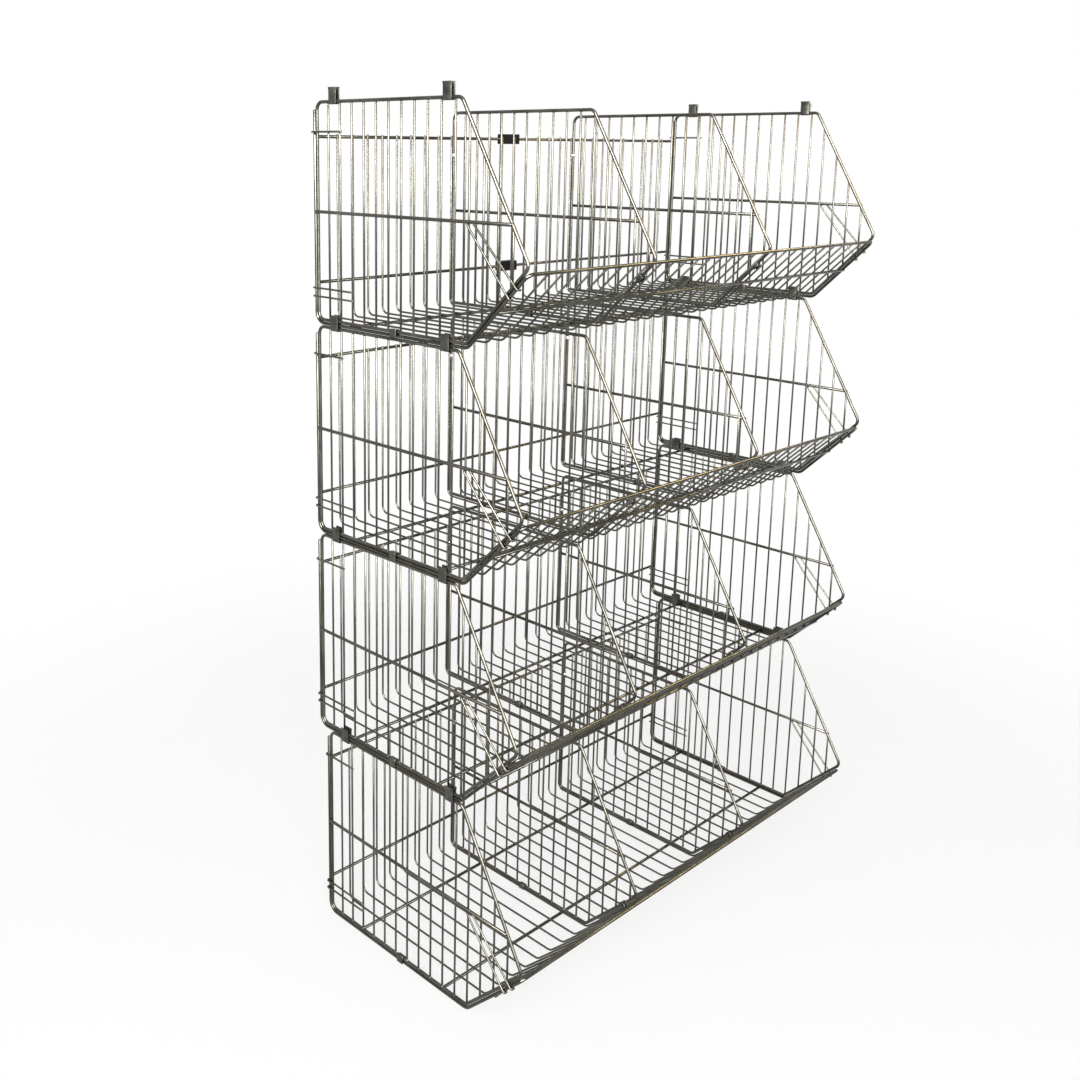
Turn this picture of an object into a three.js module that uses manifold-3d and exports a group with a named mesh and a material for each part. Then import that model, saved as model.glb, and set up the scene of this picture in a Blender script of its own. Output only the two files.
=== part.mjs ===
// Retail dump bin: four hopper-front baskets of welded steel wire, stacked on open sheet clips.
// Millimetres. X runs across the width, the front faces -Y and Z is up. The origin is on the
// floor, under the middle of the bin's outer box.
import * as THREE from "three";
import { mergeVertices } from "three/addons/utils/BufferGeometryUtils.js";
import Module from "manifold-3d";

const wasm = await Module();
wasm.setup();

// Stack
const TIER_COUNT = 4;
const BIN_WIDTH = 914; // between the rod centres of the two end panels
const BOTTOM_TIER_FORWARD = 19; // the bottom tier stands this far ahead of the others

// Round stock. Each bar is drawn as a prism with the same sectional area as the round one.
const ROD_DIAMETER = 6; // outlines of the panels and of the basket
const CROSS_DIAMETER = 5; // cross rods of the basket and mid rods of the panels
const WIRE_DIAMETER = 3; // mesh wires, hooks and hairpins
const ROD_SIDES = 4;
const PANEL_WIRE_SIDES = 4;
const BASKET_WIRE_SIDES = 3;
const ROD_BEND_CHORDS = 1; // straight facets along a bend
const WIRE_BEND_CHORDS = 2;
const TOUCH_GAP = 0.3; // between separate pieces that touch
const PASS_GAP = 0.1; // between a mesh wire and a rod of the same panel that it passes unwelded

// Outline of an end panel: depth is measured forwards from its back rod, height from its bottom rod
const PANEL_HEIGHT = 331;
const PANEL_TOP_DEPTH = 314;
const PANEL_BASE_DEPTH = 328;
const NOSE_DEPTH = 442;
const NOSE_HEIGHT = 114;
const PANEL_BEND = 12; // bend radius of the outline's corners
const PANEL_WIRE_PITCH = 27.5;
const PANEL_MID_HEIGHT = 167;
const MID_ROD_LAP = 1.5; // a mid rod runs this far past the centre line of the rod that it is welded to

// Hooks at the back of an end panel, and the hairpin at its front
const UPPER_HOOK_HEIGHT = 287;
const LOWER_HOOK_HEIGHT = 49;
const LOWEST_HOOK_HEIGHT = 36;
const UPPER_HOOK_REACH = 62;
const LOWER_HOOK_REACH = 86;
const HOOK_TAIL = 3; // length of a curled tip past the middle of the rod that it holds
const HAIRPIN_DEPTH = 334; // middle of the loop, on the mid rod
const HAIRPIN_FOOT_DEPTH = 418; // middle of the two feet, on the lower slope
const HAIRPIN_WIDTH = 14;

// Basket: back, base and front lip in one bent and welded piece
const BASKET_TOP_DROP = 11; // free ends of the side rods, below the top of the end panel
const UPPER_BACK_HEIGHT = 280;
const LOWER_BACK_HEIGHT = 57;
const REAR_BASE_DEPTH = 75;
const FRONT_BASE_DEPTH = 272;
const LIP_RAIL_HEIGHT = 49;
const LIP_RAIL_OUTSET = 2.2; // of this rail outside the side rods
const NOSE_RAIL_HEIGHT = 104;
const NOSE_RAIL_BEND = 11;
const BASKET_WIRE_COUNT = 28;
const BASKET_WIRE_MARGIN = 40.5; // from the end panels to the first and the last wire
const BASKET_WIRE_BEND = 12; // bend radius from the back to the base
const BASKET_WIRE_TIP = 2; // wire left above the top rod of the back

// Dividers, each standing along one mesh wire of the basket
const LEFT_DIVIDER_INDEX = 8; // number of that wire, counted from the left, starting at 0
const RIGHT_DIVIDER_INDEX = 18;
const DIVIDER_TOP_DROP = 9.5; // below the top of the end panels
const DIVIDER_SETBACK = 17; // of its sloping front edge behind that of the end panels
const DIVIDER_MID_HEIGHT = 160;
const RING_HEIGHT = 252; // of the ring on the back rod
const RING_LENGTH = 6;
const RING_WALL = 1.5;

// Clips of folded sheet steel
const SHEET = 1.2;
const STACK_CLIP_LENGTH = 17;
const STACK_CLIP_RISE = 21; // above the centre of the top rod
const STACK_CLIP_FLARE = 1; // outward lean of the open mouth
const STACK_CLIP_FLARE_HEIGHT = 5;
const REAR_CLIP_WIRE = 1.5; // place along the top rod, in wire pitches, between two wires
const FRONT_CLIP_WIRE = 10.5;
const MID_CLIP_LENGTH = 14;
const MID_CLIP_WIRE = 6.5;
const DIVIDER_CLIP_LENGTH = 12;
const DIVIDER_CLIP_WIRE = 14.5; // on the lower slope

// Header holder at the back of the top tier: a thin stem in two plastic blocks
const HEADER_WIRE_INDEX = 12; // the blocks start beside this mesh wire, and the next one crosses them
const STEM_DIAMETER = 4;
const STEM_SIDES = 8;
const STEM_FOOT_HEIGHT = 41;
const STEM_TOP_HEIGHT = 330;
const BLOCK_WIDTH = 40;
const BLOCK_HEIGHT = 17;
const BLOCK_BACK_WALL = 9; // plastic behind the rod that the block grips
const BLOCK_FRONT_WALL = 2.5; // plastic ahead of that rod
const STEM_EDGE = 4; // from the stem's middle to the block's left face
const STEM_SLIDE_GAP = 0.3;

const steelRod = { color: 0x6e6d67, metalness: 0.95, roughness: 0.3 };
const steelSheet = { color: 0x55544e, metalness: 0.9, roughness: 0.42 };
const blackPlastic = { color: 0x1b1b1a, metalness: 0, roughness: 0.5 };

// Sections
const corner = (diameter, sides) => {
  const sector = Math.sin((2 * Math.PI) / sides);
  return (diameter / 2) * Math.sqrt((2 * Math.PI) / (sides * sector));
};
const flat = (diameter, sides) => corner(diameter, sides) * Math.cos(Math.PI / sides);
const ROD_HALF = flat(ROD_DIAMETER, ROD_SIDES);
const CROSS_HALF = flat(CROSS_DIAMETER, ROD_SIDES);
const WIRE_HALF = flat(WIRE_DIAMETER, PANEL_WIRE_SIDES);
const BASKET_WIRE_FLAT = flat(WIRE_DIAMETER, BASKET_WIRE_SIDES);
const BASKET_WIRE_CORNER = corner(WIRE_DIAMETER, BASKET_WIRE_SIDES);

// Distances between layers, outwards from the outline of the end panels
const ROD_STEP = 2 * ROD_HALF + TOUCH_GAP; // to the basket's frame rod
const WIRE_STEP = ROD_STEP - CROSS_HALF - PASS_GAP - BASKET_WIRE_FLAT; // to the basket's wires
const DIVIDER_STEP = WIRE_STEP - BASKET_WIRE_CORNER - TOUCH_GAP - ROD_HALF; // to the dividers
const TIER_PITCH = PANEL_HEIGHT + 2 * ROD_STEP;

// The side profile: a base line, a lower slope up to the nose and a sloping front edge
const SLOPE = Math.atan2(NOSE_HEIGHT, NOSE_DEPTH - PANEL_BASE_DEPTH);
const FRONT_LEAN = (NOSE_DEPTH - PANEL_TOP_DEPTH) / (PANEL_HEIGHT - NOSE_HEIGHT);
const point = (x, depth, height) => new THREE.Vector3(x, -depth, height);
const frontDepth = (height, setback) => PANEL_TOP_DEPTH - setback + (PANEL_HEIGHT - height) * FRONT_LEAN;
// Height of the lower slope at a depth, and its depth at a height, for a layer moved outwards by step
const slopeHeight = (depth, step) => (depth - PANEL_BASE_DEPTH) * Math.tan(SLOPE) - step / Math.cos(SLOPE);
const slopeDepth = (height, step) => PANEL_BASE_DEPTH + (height + step / Math.cos(SLOPE)) / Math.tan(SLOPE);
// Where the sloping front edge meets the lower slope
const noseHeight = (setback, step) => {
  const atFloor = slopeDepth(0, step);
  const lean = FRONT_LEAN + 1 / Math.tan(SLOPE);
  return (frontDepth(0, setback) - atFloor) / lean;
};

// Points of the arc that rounds the corner between two straight legs
function arc(before, at, after, radius, chords) {
  const back = before.clone().sub(at).normalize();
  const on = after.clone().sub(at).normalize();
  const half = back.angleTo(on) / 2;
  const middle = back.clone().add(on).setLength(radius / Math.sin(half)).add(at);
  const spoke = back.clone().multiplyScalar(radius / Math.tan(half)).add(at).sub(middle);
  const axis = on.clone().cross(back).normalize();
  const turn = Math.PI - 2 * half;
  const points = [];
  for (let i = 0; i <= chords; i += 1) {
    points.push(spoke.clone().applyAxisAngle(axis, (turn * i) / chords).add(middle));
  }
  return points;
}

// Radius of a right-angled bend that stays a step outside another one, facet by facet
function outerBend(radius, step, chords) {
  return radius + step * (1 - Math.tan(Math.PI / (8 * chords)));
}

// A path through corners, each [point, bend radius, chords]; no radius keeps the corner sharp
function bentPath(corners, closed) {
  const count = corners.length;
  const path = [];
  corners.forEach(([at, radius, chords], i) => {
    const end = !closed && (i === 0 || i === count - 1);
    if (end || !radius) {
      path.push(at);
      return;
    }
    const before = corners[(i + count - 1) % count][0];
    const after = corners[(i + 1) % count][0];
    path.push(...arc(before, at, after, radius, chords));
  });
  return path;
}

// Lowest and highest point of a closed outline at one depth
function heightsAt(outline, depth) {
  const heights = [];
  outline.forEach((from, i) => {
    const to = outline[(i + 1) % outline.length];
    const share = (depth + from.y) / (from.y - to.y);
    if (from.y !== to.y && share >= 0 && share <= 1) {
      heights.push(from.z + share * (to.z - from.z));
    }
  });
  return [Math.min(...heights), Math.max(...heights)];
}

// A prism swept along a path with mitred bends. One flat of its section faces the given way.
function bar(path, facing, diameter, sides, closed = false) {
  const count = path.length;
  const leg = (i) => path[(i + 1) % count].clone().sub(path[i % count]).normalize();
  const across = facing.clone().cross(leg(0)).normalize();
  const out = leg(0).cross(across).normalize();
  const radius = corner(diameter, sides);
  let ring = [];
  for (let k = 0; k < sides; k += 1) {
    const angle = ((2 * k + 1) * Math.PI) / sides;
    const spoke = out.clone().multiplyScalar(Math.cos(angle));
    spoke.addScaledVector(across, -Math.sin(angle));
    ring.push(spoke.multiplyScalar(radius).add(path[0]));
  }
  const positions = [];
  for (let i = 0; i < count; i += 1) {
    const first = i === 0;
    const last = i === count - 1;
    const arriving = first && !closed ? leg(0) : leg(i + count - 1);
    const leaving = last && !closed ? leg(count - 2) : leg(i);
    const mitre = (last && !closed ? leaving : arriving).clone().add(leaving).normalize();
    const along = first ? leg(0) : leg(i - 1);
    ring = ring.map((corner3) => {
      const distance = path[i].clone().sub(corner3).dot(mitre) / along.dot(mitre);
      return corner3.clone().addScaledVector(along, distance);
    });
    ring.forEach((corner3) => positions.push(corner3.x, corner3.y, corner3.z));
  }
  const index = [];
  const spans = closed ? count : count - 1;
  for (let i = 0; i < spans; i += 1) {
    const a = i * sides;
    const b = ((i + 1) % count) * sides;
    for (let k = 0; k < sides; k += 1) {
      const next = (k + 1) % sides;
      index.push(a + k, a + next, b + next, a + k, b + next, b + k);
    }
  }
  if (!closed) {
    const end = (count - 1) * sides;
    for (let k = 1; k < sides - 1; k += 1) {
      index.push(0, k + 1, k, end, end + k, end + k + 1);
    }
  }
  const geometry = new THREE.BufferGeometry();
  geometry.setAttribute("position", new THREE.Float32BufferAttribute(positions, 3));
  geometry.setIndex(index);
  return solid(geometry);
}

// A closed geometry as a solid that can be joined and cut
function solid(geometry) {
  const bare = geometry.clone();
  bare.deleteAttribute("normal");
  bare.deleteAttribute("uv");
  const merged = mergeVertices(bare, 1e-4);
  const vertProperties = new Float32Array(merged.attributes.position.array);
  const triVerts = new Uint32Array(merged.index.array);
  return new wasm.Manifold(new wasm.Mesh({ numProp: 3, vertProperties, triVerts }));
}

function joined(solids) {
  return solids.reduce((whole, next) => whole.add(next));
}

function geometryOf(body) {
  const mesh = body.getMesh();
  const geometry = new THREE.BufferGeometry();
  geometry.setAttribute("position", new THREE.Float32BufferAttribute(mesh.vertProperties, 3));
  geometry.setIndex(new THREE.Uint32BufferAttribute(mesh.triVerts, 1));
  const faceted = geometry.toNonIndexed();
  faceted.computeVertexNormals();
  return faceted;
}

const X_AXIS = new THREE.Vector3(1, 0, 0);
const BACKWARDS = new THREE.Vector3(0, 1, 0);
const UPWARDS = new THREE.Vector3(0, 0, 1);

// A rod outline with vertical wires and a mid rod on one side of them, -1 for left and 1 for right:
// the common body of end panels and dividers
function rodPanel(side, step, topHeight, setback, midHeight, bends) {
  const nose = noseHeight(setback, step);
  const base = -step;
  const outline = bentPath([
    [point(0, -step, base), bends.rear, bends.rearChords],
    [point(0, -step, topHeight), bends.top, ROD_BEND_CHORDS],
    [point(0, frontDepth(topHeight, setback), topHeight), bends.top, ROD_BEND_CHORDS],
    [point(0, frontDepth(nose, setback), nose), bends.top, ROD_BEND_CHORDS],
    [point(0, slopeDepth(base, step), base), 0, 0],
  ], true);
  const pieces = [bar(outline, X_AXIS, ROD_DIAMETER, ROD_SIDES, true)];
  const lastWire = Math.floor((frontDepth(nose, setback) - ROD_DIAMETER + step) / PANEL_WIRE_PITCH);
  for (let k = 1; k <= lastWire; k += 1) {
    const depth = k * PANEL_WIRE_PITCH - step;
    const [low, high] = heightsAt(outline, depth);
    pieces.push(bar([point(0, depth, low), point(0, depth, high)], X_AXIS, WIRE_DIAMETER, PANEL_WIRE_SIDES));
  }
  const beside = side * (WIRE_HALF + PASS_GAP + CROSS_HALF);
  const from = point(beside, -step - MID_ROD_LAP, midHeight);
  const to = point(beside, frontDepth(midHeight, setback) + MID_ROD_LAP, midHeight);
  pieces.push(bar([from, to], X_AXIS, CROSS_DIAMETER, ROD_SIDES));
  return joined(pieces);
}

// A hook wire welded to one side of the panel, with its tip curled behind the basket's side rod
function rearHook(side, height, reach) {
  const welded = side * (2 * WIRE_HALF + PASS_GAP);
  const clear = side * (ROD_HALF + TOUCH_GAP + WIRE_HALF);
  const turn = ROD_HALF - ROD_STEP + TOUCH_GAP;
  const behind = -(ROD_STEP + ROD_HALF + TOUCH_GAP + WIRE_HALF);
  return bar([
    point(welded, reach, height),
    point(welded, 0, height),
    point(clear, turn, height),
    point(clear, behind, height),
    point(-side * HOOK_TAIL, behind, height),
  ], UPWARDS, WIRE_DIAMETER, PANEL_WIRE_SIDES);
}

// A hairpin from the mid rod to the lower slope, with both feet curled under the basket's rod
function frontHairpin(side) {
  const beside = side * (ROD_HALF + TOUCH_GAP + WIRE_HALF);
  const under = ROD_STEP + ROD_HALF + TOUCH_GAP + WIRE_HALF;
  const half = HAIRPIN_WIDTH / 2;
  const foot = (x, depth) => point(x, depth, slopeHeight(depth, under));
  const path = [
    foot(-side * HOOK_TAIL, HAIRPIN_FOOT_DEPTH - half),
    foot(beside, HAIRPIN_FOOT_DEPTH - half),
    point(beside, HAIRPIN_DEPTH - half, PANEL_MID_HEIGHT),
    point(beside, HAIRPIN_DEPTH + half, PANEL_MID_HEIGHT),
    foot(beside, HAIRPIN_FOOT_DEPTH + half),
    foot(-side * HOOK_TAIL, HAIRPIN_FOOT_DEPTH + half),
  ];
  const slopeNormal = point(0, Math.sin(SLOPE), -Math.cos(SLOPE));
  return bar(path, slopeNormal, WIRE_DIAMETER, PANEL_WIRE_SIDES);
}

// An end panel carries its mid rod, hooks and hairpin on its outer side
function endPanel(side) {
  const bends = { rear: PANEL_BEND, rearChords: ROD_BEND_CHORDS, top: PANEL_BEND };
  const panel = rodPanel(side, 0, PANEL_HEIGHT, 0, PANEL_MID_HEIGHT, bends);
  const fittings = [
    rearHook(side, UPPER_HOOK_HEIGHT, UPPER_HOOK_REACH),
    rearHook(side, LOWER_HOOK_HEIGHT, LOWER_HOOK_REACH),
    rearHook(side, LOWEST_HOOK_HEIGHT, LOWER_HOOK_REACH),
    frontHairpin(side),
  ];
  return geometryOf(joined([panel, ...fittings]));
}

// A sheet clip: a channel round a rod, extruded along it. Its open side is up.
function channelGeometry(length, bottom, rise, flare, flareHeight) {
  const inner = ROD_HALF + TOUCH_GAP;
  const outer = inner + SHEET;
  const shape = new THREE.Shape();
  shape.moveTo(-outer, bottom - SHEET);
  shape.lineTo(outer, bottom - SHEET);
  shape.lineTo(outer, rise - flareHeight);
  shape.lineTo(outer + flare, rise);
  shape.lineTo(inner + flare, rise);
  shape.lineTo(inner, rise - flareHeight);
  shape.lineTo(inner, bottom);
  shape.lineTo(-inner, bottom);
  shape.lineTo(-inner, rise - flareHeight);
  shape.lineTo(-inner - flare, rise);
  shape.lineTo(-outer - flare, rise);
  shape.lineTo(-outer, rise - flareHeight);
  shape.closePath();
  const geometry = new THREE.ExtrudeGeometry(shape, { depth: length, bevelEnabled: false });
  geometry.translate(0, 0, -length / 2);
  return geometry.rotateX(Math.PI / 2);
}

// The same channel turned over, without a flare: a saddle over a rod
function saddleGeometry(length, drop) {
  const inner = ROD_HALF + TOUCH_GAP;
  const outer = inner + SHEET;
  const shape = new THREE.Shape();
  shape.moveTo(-outer, -drop);
  shape.lineTo(-inner, -drop);
  shape.lineTo(-inner, inner);
  shape.lineTo(inner, inner);
  shape.lineTo(inner, -drop);
  shape.lineTo(outer, -drop);
  shape.lineTo(outer, inner + SHEET);
  shape.lineTo(-outer, inner + SHEET);
  shape.closePath();
  const geometry = new THREE.ExtrudeGeometry(shape, { depth: length, bevelEnabled: false });
  geometry.translate(0, 0, -length / 2);
  return geometry.rotateX(Math.PI / 2);
}

const DIVIDER_DROP = ROD_HALF + TOUCH_GAP + BASKET_WIRE_CORNER; // saddle legs beside the wire below
const dividerPlace = (pitches) => pitches * PANEL_WIRE_PITCH - DIVIDER_STEP;

function divider() {
  const rear = outerBend(BASKET_WIRE_BEND, DIVIDER_STEP - WIRE_STEP, WIRE_BEND_CHORDS);
  const bends = { rear, rearChords: WIRE_BEND_CHORDS, top: PANEL_BEND };
  const topHeight = PANEL_HEIGHT - DIVIDER_TOP_DROP;
  const panel = rodPanel(1, DIVIDER_STEP, topHeight, DIVIDER_SETBACK, DIVIDER_MID_HEIGHT, bends);
  const ringDiameter = ROD_DIAMETER + 2 * RING_WALL;
  const ringDepth = flat(ringDiameter, ROD_SIDES) - ROD_HALF - DIVIDER_STEP + RING_WALL / 2;
  const ringFoot = point(0, ringDepth, RING_HEIGHT - RING_LENGTH / 2);
  const ringHead = point(0, ringDepth, RING_HEIGHT + RING_LENGTH / 2);
  const ring = bar([ringFoot, ringHead], X_AXIS, ringDiameter, ROD_SIDES);
  return geometryOf(joined([panel, ring]));
}

const wirePitch = (BIN_WIDTH - 2 * BASKET_WIRE_MARGIN) / (BASKET_WIRE_COUNT - 1);
const wireX = (i) => BASKET_WIRE_MARGIN - BIN_WIDTH / 2 + i * wirePitch;

function basket() {
  const side = BIN_WIDTH / 2;
  const railDepth = slopeDepth(NOSE_RAIL_HEIGHT, ROD_STEP);
  const frontDown = slopeDepth(-ROD_STEP, ROD_STEP);
  const sideCorners = (x) => [
    [point(x, -ROD_STEP, PANEL_HEIGHT - BASKET_TOP_DROP), 0, 0],
    [point(x, -ROD_STEP, -ROD_STEP), outerBend(PANEL_BEND, ROD_STEP, ROD_BEND_CHORDS), ROD_BEND_CHORDS],
    [point(x, frontDown, -ROD_STEP), 0, 0],
    [point(x, railDepth, NOSE_RAIL_HEIGHT), NOSE_RAIL_BEND, ROD_BEND_CHORDS],
  ];
  const frame = bentPath([...sideCorners(-side), ...sideCorners(side).reverse()], false);
  const pieces = [bar(frame, X_AXIS, ROD_DIAMETER, ROD_SIDES)];
  const lipStep = ROD_STEP + LIP_RAIL_OUTSET;
  const crossRods = [
    [-ROD_STEP, UPPER_BACK_HEIGHT, BACKWARDS],
    [-ROD_STEP, LOWER_BACK_HEIGHT, BACKWARDS],
    [REAR_BASE_DEPTH, -ROD_STEP, UPWARDS],
    [FRONT_BASE_DEPTH, -ROD_STEP, UPWARDS],
    [slopeDepth(LIP_RAIL_HEIGHT, lipStep), LIP_RAIL_HEIGHT, point(0, Math.sin(SLOPE), -Math.cos(SLOPE))],
  ];
  crossRods.forEach(([depth, height, facing]) => {
    pieces.push(bar([point(-side, depth, height), point(side, depth, height)], facing, CROSS_DIAMETER, ROD_SIDES));
  });
  const topTip = UPPER_BACK_HEIGHT + CROSS_HALF + BASKET_WIRE_TIP;
  for (let i = 0; i < BASKET_WIRE_COUNT; i += 1) {
    const x = wireX(i);
    const path = [
      point(x, -WIRE_STEP, topTip),
      ...arc(
        point(x, -WIRE_STEP, topTip),
        point(x, -WIRE_STEP, -WIRE_STEP),
        point(x, PANEL_BASE_DEPTH, -WIRE_STEP),
        BASKET_WIRE_BEND, WIRE_BEND_CHORDS),
      point(x, slopeDepth(-WIRE_STEP, WIRE_STEP), -WIRE_STEP),
      point(x, railDepth, NOSE_RAIL_HEIGHT),
    ];
    pieces.push(bar(path, BACKWARDS, WIRE_DIAMETER, BASKET_WIRE_SIDES));
  }
  return geometryOf(joined(pieces));
}

// A plastic block round a back rod, with a slot for the mesh wire that crosses it and a bore for the
// stem near its left face
const WIRE_CLEAR = BASKET_WIRE_CORNER + TOUCH_GAP;
const stemX = wireX(HEADER_WIRE_INDEX) + WIRE_CLEAR + STEM_EDGE;
function headerBlock() {
  const front = CROSS_HALF + BLOCK_FRONT_WALL;
  const shape = new THREE.Shape();
  shape.moveTo(-STEM_EDGE, -front);
  shape.lineTo(BLOCK_WIDTH - STEM_EDGE, -front);
  shape.lineTo(BLOCK_WIDTH - STEM_EDGE, CROSS_HALF + BLOCK_BACK_WALL);
  shape.lineTo(-STEM_EDGE, CROSS_HALF + BLOCK_BACK_WALL);
  shape.closePath();
  const block = new THREE.ExtrudeGeometry(shape, { depth: BLOCK_HEIGHT, bevelEnabled: false });
  block.translate(0, 0, -BLOCK_HEIGHT / 2);
  const grip = 2 * (CROSS_HALF + TOUCH_GAP);
  const groove = new THREE.BoxGeometry(3 * BLOCK_WIDTH, grip, grip);
  const boreRadius = STEM_DIAMETER / 2 + STEM_SLIDE_GAP;
  const bore = new THREE.CylinderGeometry(boreRadius, boreRadius, 2 * BLOCK_HEIGHT, STEM_SIDES);
  bore.rotateX(Math.PI / 2);
  bore.translate(0, CROSS_HALF + BLOCK_BACK_WALL / 2, 0);
  const slot = new THREE.BoxGeometry(2 * WIRE_CLEAR, 2 * front, 2 * BLOCK_HEIGHT);
  slot.translate(wireX(HEADER_WIRE_INDEX + 1) - stemX, TOUCH_GAP - CROSS_HALF - front, 0);
  return geometryOf(solid(block).subtract(solid(groove)).subtract(solid(bore)).subtract(solid(slot)));
}

function named(name, geometry, look, x, depth, height) {
  const mesh = new THREE.Mesh(geometry, new THREE.MeshStandardMaterial(look));
  mesh.name = name;
  mesh.position.copy(point(x, depth, height));
  return mesh;
}

const basketGeometry = basket();
const leftPanelGeometry = endPanel(-1);
const rightPanelGeometry = endPanel(1);
const dividerGeometry = divider();
const stackClipGeometry = channelGeometry(
  STACK_CLIP_LENGTH, -ROD_HALF - TOUCH_GAP, STACK_CLIP_RISE, STACK_CLIP_FLARE, STACK_CLIP_FLARE_HEIGHT);
const midClipGeometry = saddleGeometry(MID_CLIP_LENGTH, ROD_STEP + ROD_HALF);
const dividerClipGeometry = saddleGeometry(DIVIDER_CLIP_LENGTH, DIVIDER_DROP);

const bin = new THREE.Group();
for (let level = 1; level <= TIER_COUNT; level += 1) {
  const tier = new THREE.Group();
  tier.position.copy(point(0, level === 1 ? BOTTOM_TIER_FORWARD : 0, (level - 1) * TIER_PITCH));
  const label = `tier${level}`;
  tier.add(named(`${label}_basket`, basketGeometry, steelRod, 0, 0, 0));
  for (const [side, x, geometry] of [
    ["left", -BIN_WIDTH / 2, leftPanelGeometry],
    ["right", BIN_WIDTH / 2, rightPanelGeometry],
  ]) {
    tier.add(named(`${label}_${side}_end`, geometry, steelRod, x, 0, 0));
    for (const [place, pitches] of [["rear", REAR_CLIP_WIRE], ["front", FRONT_CLIP_WIRE]]) {
      const depth = pitches * PANEL_WIRE_PITCH;
      tier.add(named(`${label}_${side}_${place}_stack_clip`, stackClipGeometry, steelSheet, x, depth, PANEL_HEIGHT));
    }
    tier.add(named(`${label}_${side}_mid_clip`, midClipGeometry, steelSheet, x, MID_CLIP_WIRE * PANEL_WIRE_PITCH, 0));
  }
  for (const [side, wire] of [["left", LEFT_DIVIDER_INDEX], ["right", RIGHT_DIVIDER_INDEX]]) {
    const x = wireX(wire);
    tier.add(named(`${label}_${side}_divider`, dividerGeometry, steelRod, x, 0, 0));
    const depth = dividerPlace(DIVIDER_CLIP_WIRE);
    const clip = named(`${label}_${side}_divider_clip`, dividerClipGeometry, steelSheet, x, depth, slopeHeight(depth, DIVIDER_STEP));
    clip.rotation.x = -SLOPE;
    tier.add(clip);
  }
  if (level === TIER_COUNT) {
    const stemDepth = -ROD_STEP - CROSS_HALF - BLOCK_BACK_WALL / 2;
    const length = STEM_TOP_HEIGHT - STEM_FOOT_HEIGHT;
    const stem = new THREE.CylinderGeometry(STEM_DIAMETER / 2, STEM_DIAMETER / 2, length, STEM_SIDES);
    stem.rotateX(Math.PI / 2);
    tier.add(named("header_stem", stem, steelSheet, stemX, stemDepth, STEM_FOOT_HEIGHT + length / 2));
    const block = headerBlock();
    tier.add(named("header_upper_block", block, blackPlastic, stemX, -ROD_STEP, UPPER_BACK_HEIGHT));
    tier.add(named("header_lower_block", block, blackPlastic, stemX, -ROD_STEP, LOWER_BACK_HEIGHT));
  }
  bin.add(tier);
}

// Set the origin on the floor under the middle of the outer box
bin.updateMatrixWorld(true);
const outerBox = new THREE.Box3().setFromObject(bin, true);
const middle = outerBox.getCenter(new THREE.Vector3());
bin.position.set(-middle.x, -middle.y, -outerBox.min.z);

export default bin;
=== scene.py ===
import math

import bpy
import numpy as np
from mathutils import Matrix, Quaternion, Vector


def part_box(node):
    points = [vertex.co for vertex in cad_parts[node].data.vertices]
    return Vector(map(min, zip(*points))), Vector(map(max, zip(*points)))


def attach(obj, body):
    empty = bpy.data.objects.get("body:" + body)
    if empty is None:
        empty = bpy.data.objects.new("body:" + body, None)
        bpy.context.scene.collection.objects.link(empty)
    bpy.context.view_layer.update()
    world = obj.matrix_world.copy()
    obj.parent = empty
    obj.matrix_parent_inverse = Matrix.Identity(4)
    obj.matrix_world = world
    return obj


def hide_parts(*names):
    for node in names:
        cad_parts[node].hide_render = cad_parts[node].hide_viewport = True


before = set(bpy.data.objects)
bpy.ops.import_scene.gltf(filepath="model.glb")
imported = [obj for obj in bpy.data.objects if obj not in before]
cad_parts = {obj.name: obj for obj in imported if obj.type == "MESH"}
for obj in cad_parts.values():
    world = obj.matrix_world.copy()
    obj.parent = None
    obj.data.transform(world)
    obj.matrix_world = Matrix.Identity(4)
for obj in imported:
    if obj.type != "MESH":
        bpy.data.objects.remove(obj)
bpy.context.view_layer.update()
scene = bpy.context.scene

# Baskets: in each tier one rod is bent into both sides and the nose rail, five cross rods are welded to
# it, and 28 wires run from the back over the base to the rail, welded at every rod. Millimetres:
# across, depth forwards from the end panels' back rods, height from their bottom rods.
METRE = 1000
TIERS = (1, 2, 3, 4)
WIDTH = 914  # between the middles of the end panels
PANEL_HEIGHT, BASE_DEPTH = 331, 328
BOTTOM_FORWARD = 19  # of the bottom tier, ahead of the others
SLANT = math.sqrt(2)  # the lower slope stands at 45 degrees
ROD, CROSS, WIRE = 2.65, 2.6, 1.65  # radii
ROD_SIDES, CROSS_SIDES, WIRE_SIDES = 12, 10, 8
BEND, WIRE_FOOT_BEND, RAIL_BEND = 12, 16, 11
CHORD = math.radians(8)  # turn of one straight stretch of a bend
SIDE_DROP = 11  # free ends of the side rods, below the top of the end panels
BACK_RODS = (280, 57)
BASE_RODS = (75, 272)
LIP_HEIGHT, LIP_OUTSET = 49, 2.2
RAIL_HEIGHT = 104
WIRE_COUNT, WIRE_MARGIN = 28, 40.5
WIRE_TIP = 4.2  # left above the upper back rod

# Half sections of the bars in the frame, four-sided but for the basket's wires, and gaps between layers
ROD_HALF, CROSS_HALF, WIRE_FLAT, WIRE_CORNER = 2.6587, 2.2156, 1.1663, 2.3327
TOUCH_GAP, PASS_GAP = 0.3, 0.1
ROD_STEP = 2 * ROD_HALF + TOUCH_GAP  # outwards from the end panels to the basket's rods
WIRE_STEP = ROD_STEP - CROSS_HALF - PASS_GAP - WIRE_FLAT  # and to its wires
TIER_PITCH = PANEL_HEIGHT + 2 * ROD_STEP
BASE_Z = ROD_STEP + ROD_HALF
BACK_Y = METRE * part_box("tier4_basket")[1][1] - BASE_Z

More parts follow.
